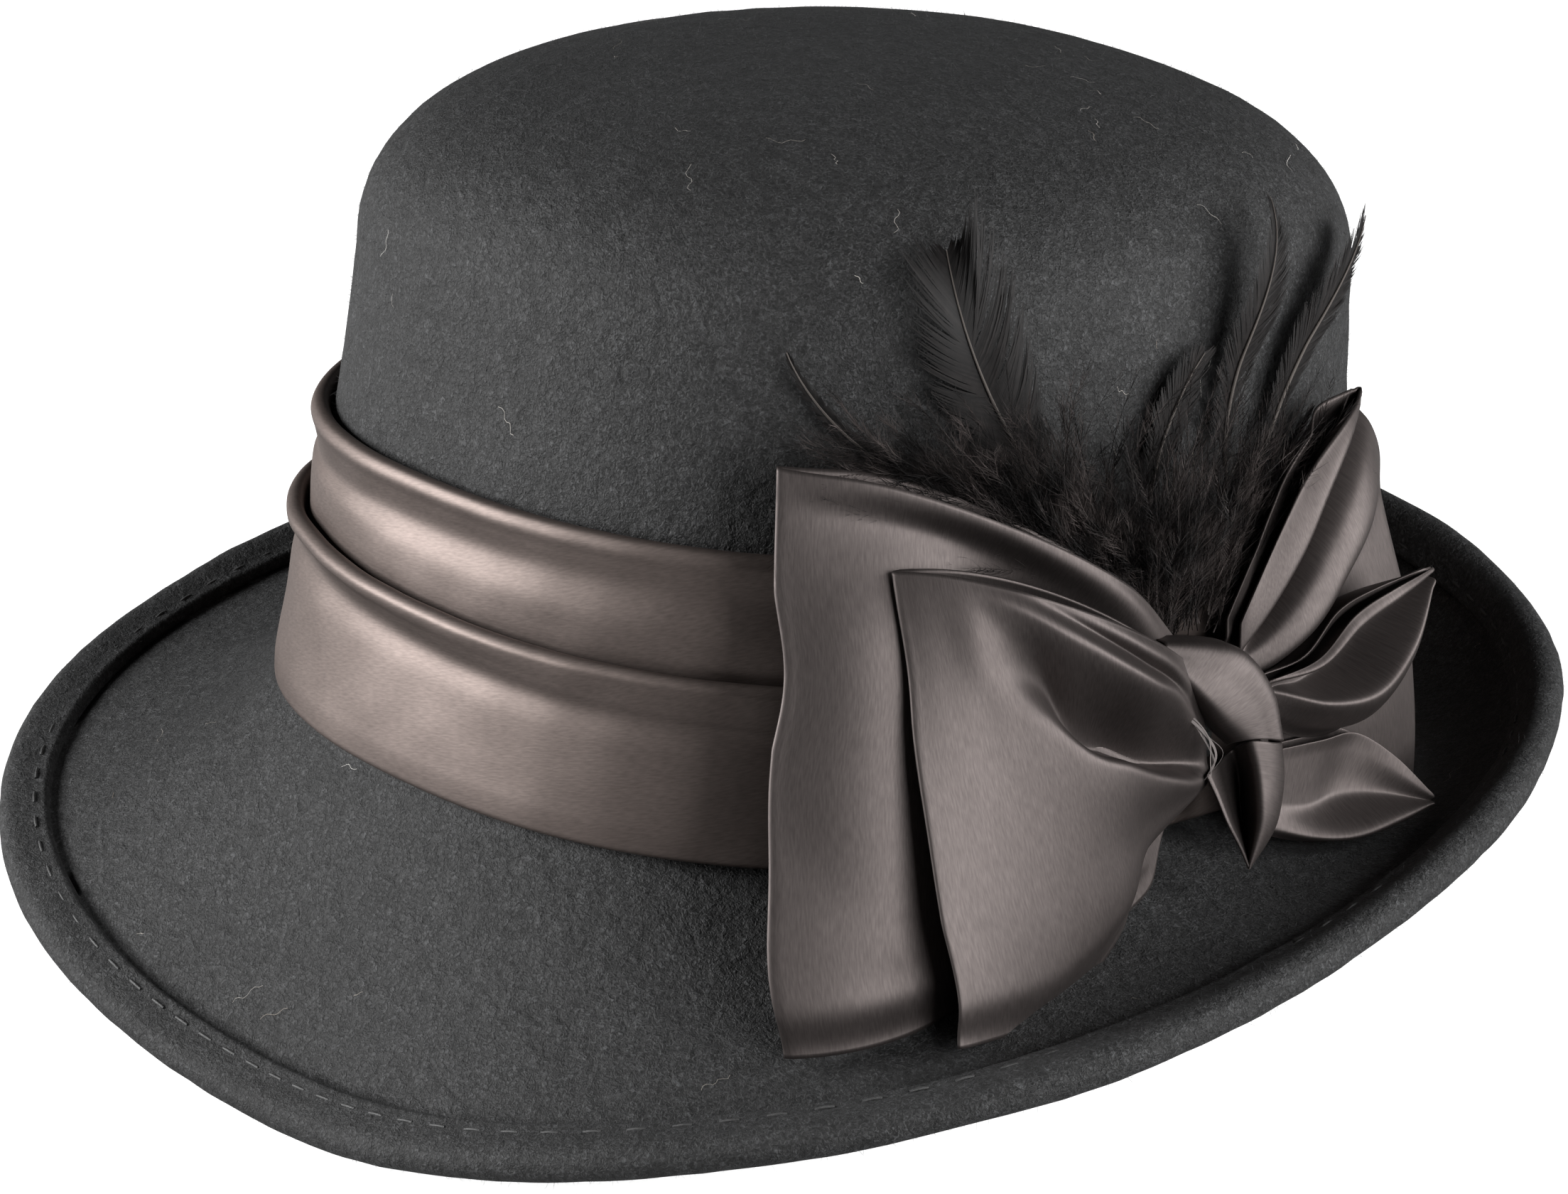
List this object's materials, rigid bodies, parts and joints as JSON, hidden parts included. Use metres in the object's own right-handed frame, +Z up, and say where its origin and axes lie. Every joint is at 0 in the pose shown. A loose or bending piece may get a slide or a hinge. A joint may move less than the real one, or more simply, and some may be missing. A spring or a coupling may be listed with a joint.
{
  "type": "bowler hat",
  "caption": "Black felt bowler with a dipped front brim and a turned-up back, a pleated satin hatband, a satin bow and a spray of feathers; worn on the head.",
  "frame": {"origin": "centre of the head opening, at the line where crown meets brim", "axes": "+Z up through the crown, the front of the hat is -Y and the wearer's left, which carries the bow, is +X"},
  "size_m": [0.2856, 0.2713, 0.1798],
  "materials": {
    "felt": "brushed wool felt",
    "satin": "satin",
    "feather": "matt barbs with a faint gloss",
    "down": "fluffy",
    "thread": "twisted thread",
    "ribbon": "ribbed grosgrain",
    "backing": "stiff buckram",
    "wire": "drawn wire"
  },
  "bodies": {
    "hat": {"felt_body": "felt", "brim_wire": "wire", "hem_stitching": "thread", "sweatband": "ribbon", "sweatband_stitching": "thread", "satin_hatband": "satin", "bow_pad": "backing", "bow_back_loop_left": "satin", "bow_front_loop_left": "satin", "bow_upper_loop_right": "satin", "bow_middle_loop_right": "satin", "bow_lower_loop_right": "satin", "bow_knot": "satin", "bow_tail": "satin", "feather_pad": "felt", "plume_small": "feather", "plume_low": "feather", "marabou_left": "down", "marabou_centre": "down", "marabou_right": "down"},
    "wisp_feather": {"plume_wisp": "feather"},
    "broad_feather": {"plume_broad": "feather"},
    "tall_feather": {"plume_tall": "feather"},
    "right_feather": {"plume_right": "feather"}
  },
  "joints": [
    {"name": "wisp_feather_sway", "type": "hinge", "parent": "hat", "child": "wisp_feather", "pos_m": [0.0826, -0.03432, 0.0608], "axis": [0.9533, -0.3019, 0], "range_deg": [-6, 6], "stiffness_Nm_per_rad": 0.01},
    {"name": "broad_feather_sway", "type": "hinge", "parent": "hat", "child": "broad_feather", "pos_m": [0.08392, -0.02747, 0.0608], "axis": [0.9703, -0.2421, 0], "range_deg": [-6, 6], "stiffness_Nm_per_rad": 0.01},
    {"name": "tall_feather_sway", "type": "hinge", "parent": "hat", "child": "tall_feather", "pos_m": [0.08554, 0.01199, 0.0608], "axis": [0.9943, 0.1062, 0], "range_deg": [-6, 6], "stiffness_Nm_per_rad": 0.01},
    {"name": "right_feather_sway", "type": "hinge", "parent": "hat", "child": "right_feather", "pos_m": [0.08485, 0.02059, 0.0608], "axis": [0.9833, 0.1818, 0], "range_deg": [-6, 6], "stiffness_Nm_per_rad": 0.01}
  ]
}
